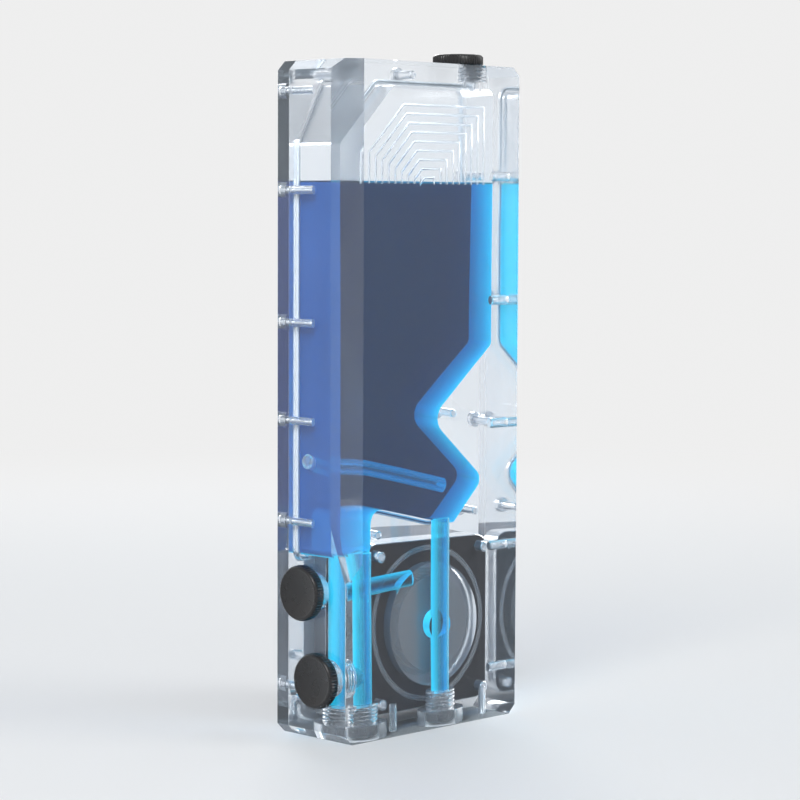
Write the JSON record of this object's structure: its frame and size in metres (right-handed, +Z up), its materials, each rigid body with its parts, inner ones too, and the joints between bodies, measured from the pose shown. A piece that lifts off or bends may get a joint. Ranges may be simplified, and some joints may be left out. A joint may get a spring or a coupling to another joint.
{
  "type": "coolant pump reservoir",
  "caption": "Clear acrylic coolant reservoir block with a milled chamber, drilled channels, screw-in port plugs and a magnet-drive pump at its back.",
  "frame": {"origin": "middle of the bottom face, block and back plate together", "axes": "+Z up along the block's height, +Y from the front face to the pump at the back, +X away from the side with the port plugs"},
  "size_m": [0.0945, 0.052, 0.2495],
  "materials": {
    "acrylic": "polished clear acrylic, faintly frosted where it was milled",
    "coolant": "clear deep blue liquid",
    "clear_silicone": "milky silicone cord",
    "black_plating": "gloss black plating on turned brass",
    "black_rubber": "smooth black rubber",
    "screw_steel": "bright stainless steel",
    "pump_plastic": "dark grey moulded plastic with a fine texture",
    "cup_steel": "drawn thin steel",
    "ball_ceramic": "polished white ceramic",
    "impeller_plastic": "black moulded plastic",
    "magnet_ferrite": "dark sintered ferrite",
    "stator_steel": "stacked steel sheets",
    "copper_wire": "enamelled copper wire",
    "board_green": "green solder mask"
  },
  "bodies": {
    "reservoir": {"reservoir_block": "acrylic", "back_plate": "acrylic", "chamber_seal": "clear_silicone", "coolant": "coolant", "chamber_tube": "acrylic", "plate_screws": "screw_steel", "pump_housing": "pump_plastic", "pump_cover": "pump_plastic", "pump_screws": "screw_steel", "pump_seal": "black_rubber", "rotor_cup": "cup_steel", "bearing_ball": "ball_ceramic", "stator_core": "stator_steel", "stator_coils": "copper_wire", "circuit_board": "board_green", "cable_inlet": "black_rubber"},
    "fill_cap_ring": {"fill_cap_seal": "black_rubber"},
    "fill_cap_head": {"fill_cap": "black_plating"},
    "outlet_plug_ring": {"outlet_plug_seal": "black_rubber"},
    "outlet_plug_head": {"outlet_plug": "black_plating"},
    "inlet_plug_ring": {"inlet_plug_seal": "black_rubber"},
    "inlet_plug_head": {"inlet_plug": "black_plating"},
    "return_drain_ring": {"return_drain_seal": "black_rubber"},
    "return_drain_head": {"return_drain_plug": "black_plating"},
    "pump_drain_ring": {"pump_drain_seal": "black_rubber"},
    "pump_drain_head": {"pump_drain_plug": "black_plating"},
    "rotor": {"impeller": "impeller_plastic", "rotor_magnet": "magnet_ferrite"}
  },
  "joints": [
    {"name": "fill_cap_slide", "type": "slide", "parent": "reservoir", "child": "fill_cap_ring", "axis": [0, 0, 1], "range_m": [0, 0.00569]},
    {"name": "fill_cap_turn", "type": "hinge", "parent": "fill_cap_ring", "child": "fill_cap_head", "pos_m": [0.0278, -0.0024, 0.245], "axis": [0, 0, 1], "range_deg": [0, 1530]},
    {"name": "outlet_plug_slide", "type": "slide", "parent": "reservoir", "child": "outlet_plug_ring", "axis": [-1, 0, 0], "range_m": [0, 0.00569]},
    {"name": "outlet_plug_turn", "type": "hinge", "parent": "outlet_plug_ring", "child": "outlet_plug_head", "pos_m": [-0.045, 0.0024, 0.0535], "axis": [-1, 0, 0], "range_deg": [0, 1530]},
    {"name": "inlet_plug_slide", "type": "slide", "parent": "reservoir", "child": "inlet_plug_ring", "axis": [-1, 0, 0], "range_m": [0, 0.00569]},
    {"name": "inlet_plug_turn", "type": "hinge", "parent": "inlet_plug_ring", "child": "inlet_plug_head", "pos_m": [-0.045, -0.0051, 0.0224], "axis": [-1, 0, 0], "range_deg": [0, 1530]},
    {"name": "return_drain_slide", "type": "slide", "parent": "reservoir", "child": "return_drain_ring", "axis": [0, 0, -1], "range_m": [0, 0.00569]},
    {"name": "return_drain_turn", "type": "hinge", "parent": "return_drain_ring", "child": "return_drain_head", "pos_m": [-0.0295, -0.0051, 0.0055], "axis": [0, 0, -1], "range_deg": [0, 1530]},
    {"name": "pump_drain_slide", "type": "slide", "parent": "reservoir", "child": "pump_drain_ring", "axis": [0, 0, -1], "range_m": [0, 0.00569]},
    {"name": "pump_drain_turn", "type": "hinge", "parent": "pump_drain_ring", "child": "pump_drain_head", "pos_m": [0.011, -0.0051, 0.0055], "axis": [0, 0, -1], "range_deg": [0, 1530]},
    {"name": "rotor_spin", "type": "hinge", "parent": "reservoir", "child": "rotor", "pos_m": [0.011, 0.006, 0.0365], "axis": [0, 1, 0], "continuous": true}
  ],
  "couplings": [
    {"joint": "fill_cap_slide", "follows": "fill_cap_turn", "m_per_rad": 0.00021279},
    {"joint": "outlet_plug_slide", "follows": "outlet_plug_turn", "m_per_rad": 0.00021279},
    {"joint": "inlet_plug_slide", "follows": "inlet_plug_turn", "m_per_rad": 0.00021279},
    {"joint": "return_drain_slide", "follows": "return_drain_turn", "m_per_rad": 0.00021279},
    {"joint": "pump_drain_slide", "follows": "pump_drain_turn", "m_per_rad": 0.00021279}
  ]
}
